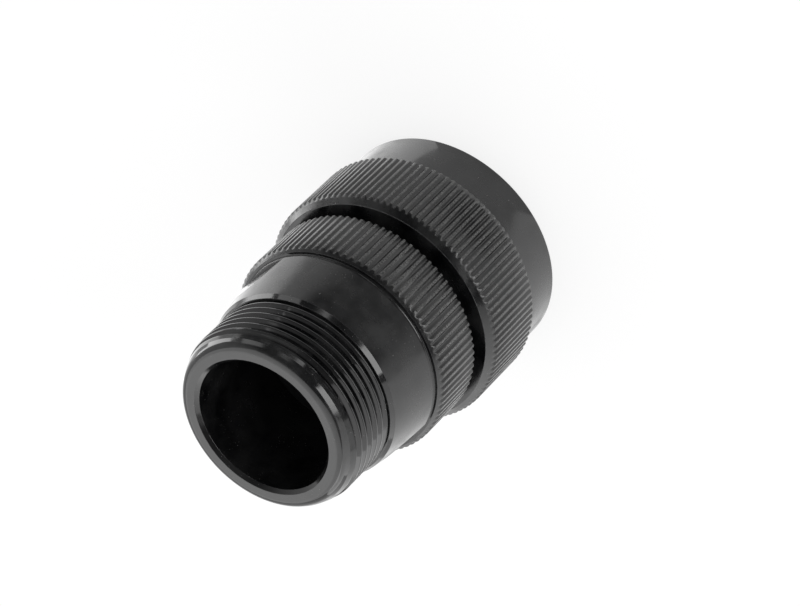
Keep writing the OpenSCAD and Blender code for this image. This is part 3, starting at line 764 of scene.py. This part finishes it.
bell_crest_r, bell_front, bell_rear = span("end_bell")
bell_ridges, bell_knurl_depth = 90, 0.32
counterbore_r, counterbore_end = seal_outer + 0.05, shell_thread[0]
bell_thread_end = shell_rear + 0.8
lip_r, lip_end = skirt_r + 0.24, bell_thread_end + 0.8
pocket_r, pocket_end = follower_rim_r + 0.08, follower_rear + 0.08
cable_bore = follower_bore - 0.14
bell_knurl_end, bell_chamfer_size, groove_round = bell_front + 8.8, 0.7, 0.5
bell_chamfer_end = bell_knurl_end + bell_chamfer_size
groove_r, groove_z = bell_crest_r - 0.9, bell_chamfer_end + groove_round
body_front = groove_z + groove_round
neck_r, neck_depth = cable_bore + 4.05, 0.85
body_rear_r, body_rear = neck_r + 0.7, body_front + 8.0
flat_x = 16.0
shoulder_start, shoulder_end, shoulder_drop = body_rear + 0.35, body_rear + 1.07, 0.43
relief_r, relief_front, relief_end = neck_r - 0.3, shoulder_end + 0.05, shoulder_end + 0.13
nose_slope, tip_slope = math.tan(math.radians(21)), math.tan(math.radians(31))
relief_slope, nose_round, bore_chamfer = 1.7, 1.57, 0.55
neck_end, thread_end, tip_front = bell_rear - 3.06, bell_rear - 1.5, bell_rear - 1.29
# The height and the angle of one crest of the neck's thread, as it stands in the photograph.
neck_crest_z, neck_crest_at = bell_rear - 3.16, math.radians(-83.45)
bell_fine, bell_falls = knurl_columns(bell_ridges)
bell_coarse = bell_fine[::3]
bell_knurl_r = bell_crest_r - bell_knurl_depth * bell_falls
bell_root_r = bell_crest_r - bell_knurl_depth

front_edge = (bell_root_r - 0.12, bell_front)
front_rows = turned_rows(bell_coarse, rounded(
    (turning_bore, counterbore_end), (counterbore_r, counterbore_end, -0.15),
    (counterbore_r, bell_front, 0.2), front_edge, steps=3))
bell_knurl = knurl_rows(
    bell_fine, bell_knurl_r, front_edge, (bell_crest_r, bell_knurl_end), front_slope=0.1, rear_slope=1.0)
chamfer_top = bell_root_r - 0.14
groove_points = 13
groove_arc = [(groove_r - groove_round * math.cos(t), groove_z + groove_round * math.sin(t), 0.0)
              for t in np.linspace(-math.pi / 2, math.pi / 2, groove_points)]
chamfer_rows = turned_rows(bell_coarse, rounded(
    (chamfer_top, bell_knurl_end + bell_crest_r - chamfer_top),
    (bell_crest_r - bell_chamfer_size, bell_chamfer_end, 0.06), (groove_r, bell_chamfer_end)))
groove_rows = turned_rows(bell_coarse, groove_arc[1:-1])
taper = (body_rear_r - groove_r) / (body_rear - body_front)
shoulder_r_front = groove_r + taper * (shoulder_start - body_front)
# The body has rows between its ends, so that the curved outline of a flat is cut smoothly.
body_steps = [(groove_r + taper * step, body_front + step) for step in np.arange(0.2, 7.4, 1.2)]
body_rows = turned_rows(bell_coarse, rounded(
    (groove_r, body_front), *body_steps, (shoulder_r_front, shoulder_start, 0.05),
    (shoulder_r_front - shoulder_drop, shoulder_end, 0.05), (relief_r, relief_front), (relief_r, relief_end)))


def neck_outline(height):
    """The neck's radius without its thread: the end of the relief, the cylinder and the nose."""
    relief = relief_r + relief_slope * (height - relief_end)
    nose = neck_r - nose_slope * (height - neck_end)
    return np.minimum(np.minimum(relief, nose), neck_r)


neck_thread = thread_rows(
    THREAD_FORM, bell_coarse, relief_end, thread_end, neck_r, neck_depth,
    neck_crest_z - PITCH * neck_crest_at / FULL_TURN, fade=(0.001, 1.0), limit=neck_outline)
nose_rows = turned_rows(bell_coarse, rounded(
    (neck_outline(thread_end), thread_end), (neck_outline(tip_front), tip_front, 0.03),
    (neck_outline(tip_front) - tip_slope * (bell_rear - tip_front), bell_rear, nose_round),
    (cable_bore + 1.0, bell_rear), steps=8))
bell_bore_rows = turned_rows(bell_coarse, rounded(
    (cable_bore + 0.9, bell_rear), (cable_bore + bore_chamfer, bell_rear, 0.1),
    (cable_bore, bell_rear - bore_chamfer, 0.08), (cable_bore, pocket_end, 0.1),
    (pocket_r, pocket_end, -0.1), (pocket_r, lip_end), (lip_r, lip_end, 0.12),
    (lip_r, bell_thread_end, 0.12), (turning_bore, bell_thread_end), steps=3))
inner_thread = thread_rows(
    COVERED_FORM, bell_coarse, counterbore_end, bell_thread_end, turning_bore, -shell_thread[2],
    shell_thread[0] + PITCH / 2, fade=(0.3, 1.5)).from_above()
bell = lathe("bell_body", front_rows, bell_knurl, chamfer_rows, groove_rows, body_rows, neck_thread,
             nose_rows, bell_bore_rows, inner_thread)

# Each flat is a plane cut through the tapered body, down to the middle of the groove, where the
# cutter leaves a narrow ledge.
work = bmesh.new()
work.from_mesh(bell.data)
touch = 1e-4 * MM
for side in (-1, 1):
    body = [face for face in work.faces if side * face.calc_center_median().x > 0.8 * flat_x * MM
            and all(groove_z * MM - touch < v.co.z < body_rear * MM and v.co.xy.length > neck_r * MM
                    for v in face.verts)]
    edges = {edge for face in body for edge in face.edges}
    corners = {v for face in body for v in face.verts if v.co.z > groove_z * MM + touch}
    bmesh.ops.bisect_plane(
        work, geom=body + list(edges) + list(corners), dist=touch / 10,
        plane_co=(side * flat_x * MM, 0, 0), plane_no=(side, 0, 0), clear_outer=True)
    level = [v for v in work.verts if abs(v.co.z - groove_z * MM) < touch
             and side * v.co.x > flat_x * MM - touch and v.co.xy.length < groove_r * MM]
    cut = [v for v in work.verts if abs(v.co.x - side * flat_x * MM) < touch
           and groove_z * MM - touch < v.co.z < body_rear * MM]
    middle_z = (body_front + 1.0) * MM
    cut.sort(key=lambda v: math.atan2(v.co.z - middle_z, v.co.y))
    level.sort(key=lambda v: v.co.y)
    for loop in (cut, level):
        face = work.faces.new(loop)
        for edge in face.edges:
            edge.smooth = False
work.to_mesh(bell.data)
work.free()
finish_mesh(bell.data)
mark_finish(bell, bell_crest_r, bell_knurl_depth, fine_from=shoulder_start - 0.1)
bell.data.materials.append(black_plating(
    "bell_plating", lines_per_mm=6, line_height=0.0012, smooth=0.19, dust=0.35, rub=0.3))
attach(bell, "bell")
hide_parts("end_bell")


# Floor, light and camera
# A white floor in a white room that is dark behind the camera, with soft lamps all round and two
# bright sheets beside the plug; on the camera's side, what gloss shows of the floor is painted dark.
# The camera stands where the photograph's did; the plug stands upright here, so the camera is rolled.

camera_turn, camera_tilt, camera_roll = (math.radians(a) for a in (6.55, 46.8815, -134.6737))
camera_side = camera_turn - math.pi / 2
camera_way = (math.cos(camera_side), math.sin(camera_side), 0)
paper_colour, paper_glow = (0.92, 0.92, 0.92, 1), 0.8
# What gloss shows of the floor is painted dark, fading from one distance to another a little right of the
# camera, while the camera sees it white: a painted dark reflection.
dark_side, dark_from, dark_to, dark_level = camera_side + math.radians(12), 56 * MM, 76 * MM, 0.08
# What gloss shows of the room beyond the plug and on the camera's side, and the light the room gives.
room_behind, room_front, room_fill = 0.9, 0.12, 0.35

floor_mesh = bpy.data.meshes.new("floor")
floor_half = 3.0
floor_mesh.from_pydata([(-floor_half, -floor_half, 0), (floor_half, -floor_half, 0),
                        (floor_half, floor_half, 0), (-floor_half, floor_half, 0)], [], [(0, 1, 2, 3)])
floor = bpy.data.objects.new("floor", floor_mesh)
bpy.context.scene.collection.objects.link(floor)
paper = bpy.data.materials.new("paper")
paper.use_nodes = True
tree = paper.node_tree
tree.nodes.clear()


def seen_directly(tree):
    """1 for rays that see the background: from the camera, off gloss or through glass."""
    rays = add(tree, "ShaderNodeLightPath").outputs
    either = math_node(tree, "MAXIMUM", rays["Is Camera Ray"], rays["Is Glossy Ray"])
    return math_node(tree, "MAXIMUM", either, rays["Is Transmission Ray"])


matt = add(tree, "ShaderNodeBsdfDiffuse", {"Color": paper_colour}).outputs[0]
place = add(tree, "ShaderNodeNewGeometry").outputs["Position"]
forward = add(tree, "ShaderNodeVectorMath", {
    0: place, 1: (math.cos(dark_side), math.sin(dark_side), 0)}, operation="DOT_PRODUCT").outputs["Value"]
painted_dark_reflection = add(tree, "ShaderNodeMapRange", {
    "Value": forward, "From Min": dark_from, "From Max": dark_to,
    "To Min": 1.0, "To Max": dark_level}).outputs[0]
seen = add(tree, "ShaderNodeLightPath").outputs["Is Camera Ray"]
white = add(tree, "ShaderNodeEmission", {
    "Color": (1, 1, 1, 1), "Strength": math_node(tree, "MAXIMUM", painted_dark_reflection, seen)}).outputs[0]
lit = add(tree, "ShaderNodeMixShader", {0: paper_glow, 1: matt, 2: white}).outputs[0]
shown = add(tree, "ShaderNodeMixShader", {0: seen_directly(tree), 1: matt, 2: lit}).outputs[0]
add(tree, "ShaderNodeOutputMaterial", {0: shown})
floor_mesh.materials.append(paper)

camera_place = Vector((50.332, -449.828, bell_rear + 387.125)) * MM
camera_data = bpy.data.cameras.new("camera")
camera_data.sensor_width = 36.0
camera_data.lens = 186.45
camera = bpy.data.objects.new("camera", camera_data)
camera.matrix_world = (Matrix.Translation(camera_place) @ Matrix.Rotation(camera_turn, 4, "Z")
                       @ Matrix.Rotation(camera_tilt, 4, "X") @ Matrix.Rotation(camera_roll, 4, "Z"))
bpy.context.scene.collection.objects.link(camera)
bpy.context.scene.camera = camera

world = bpy.data.worlds.new("studio")
bpy.context.scene.world = world
world.use_nodes = True
tree = world.node_tree
way = add(tree, "ShaderNodeTexCoord").outputs["Generated"]
facing = add(tree, "ShaderNodeVectorMath", {
    0: way, 1: camera_way}, operation="DOT_PRODUCT").outputs["Value"]
room = add(tree, "ShaderNodeMapRange", {
    "Value": facing, "From Min": -0.3, "From Max": 0.4,
    "To Min": room_behind, "To Max": room_front}).outputs[0]
seen = add(tree, "ShaderNodeLightPath").outputs["Is Camera Ray"]
level = add(tree, "ShaderNodeMapRange", {
    "Value": seen_directly(tree), "To Min": room_fill,
    "To Max": math_node(tree, "MAXIMUM", room, seen)}).outputs[0]
background = tree.nodes["Background"]
background.inputs["Color"].default_value = (1, 1, 1, 1)
tree.links.new(level, background.inputs["Strength"])

aim = Vector((0, 0, bell_rear * MM / 2))


def softbox(name, azimuth, elevation, distance, width, height, radiance, lean=0):
    """A soft rectangular lamp that looks at the plug from a direction, counted from the camera's side.

    The width and height are the angles, in degrees, that the lamp takes as seen from the plug. A lean
    turns the lamp in its own plane.
    """
    lamp = bpy.data.lights.new(name, "AREA")
    lamp.shape = "RECTANGLE"
    lamp.size = 2 * distance * math.tan(math.radians(width / 2))
    lamp.size_y = 2 * distance * math.tan(math.radians(height / 2))
    lamp.energy = 4 * lamp.size * lamp.size_y * radiance
    around, up = camera_side + math.radians(azimuth), math.radians(elevation)
    towards = Vector((math.cos(around) * math.cos(up), math.sin(around) * math.cos(up), math.sin(up)))
    box = bpy.data.objects.new(name, lamp)
    box.location = aim + towards * distance
    box.rotation_euler = (towards.to_track_quat("Z", "Y")
                          @ Quaternion((0, 0, 1), math.radians(lean))).to_euler()
    bpy.context.scene.collection.objects.link(box)


def floor_reflector(name, left, front, turn, width, depth, radiance):
    """A bright sheet that lies on the floor beside the plug, seen from the camera's side, in metres.

    The turn is in degrees, and brings the sheet's left end forward.
    """
    above_floor = 0.3 * MM
    lamp = bpy.data.lights.new(name, "AREA")
    lamp.shape = "RECTANGLE"
    lamp.size, lamp.size_y = width, depth
    lamp.energy = 4 * width * depth * radiance
    sheet = bpy.data.objects.new(name, lamp)
    sheet.matrix_world = (Matrix.Rotation(camera_side + math.pi / 2, 4, "Z")
                          @ Matrix.Translation((-left, -front, above_floor))
                          @ Matrix.Rotation(math.radians(turn), 4, "Z") @ Matrix.Rotation(math.pi, 4, "X"))
    sheet.visible_camera = False
    bpy.context.scene.collection.objects.link(sheet)


# Azimuth, elevation, distance in metres, width, height and radiance of each lamp.
softbox("left_box", -97, 13, 0.45, 85, 50, 1.25)
softbox("front_left_box", -28.5, 22, 0.5, 30, 25, 4.2)
softbox("front_right_box", 26, 10, 0.5, 7, 32, 1.6, lean=-45)
softbox("right_box", 72, 12, 0.4, 22, 13, 1.2)
softbox("right_back_box", 112, 0.5, 0.3, 48, 13, 3.6)
softbox("back_box", 180, 41, 0.6, 26, 30, 0.35)
softbox("top_box", -165, 65, 0.6, 84, 76, 0.95)
# How far left and in front, turn, width, depth and radiance of each sheet.
floor_reflector("left_sheet", 0.143, -0.001, 26, 0.23, 0.16, 0.45)
floor_reflector("right_sheet", -0.079, -0.053, 6.6, 0.148, 0.12, 0.85)

bpy.context.scene.view_settings.view_transform = "Standard"
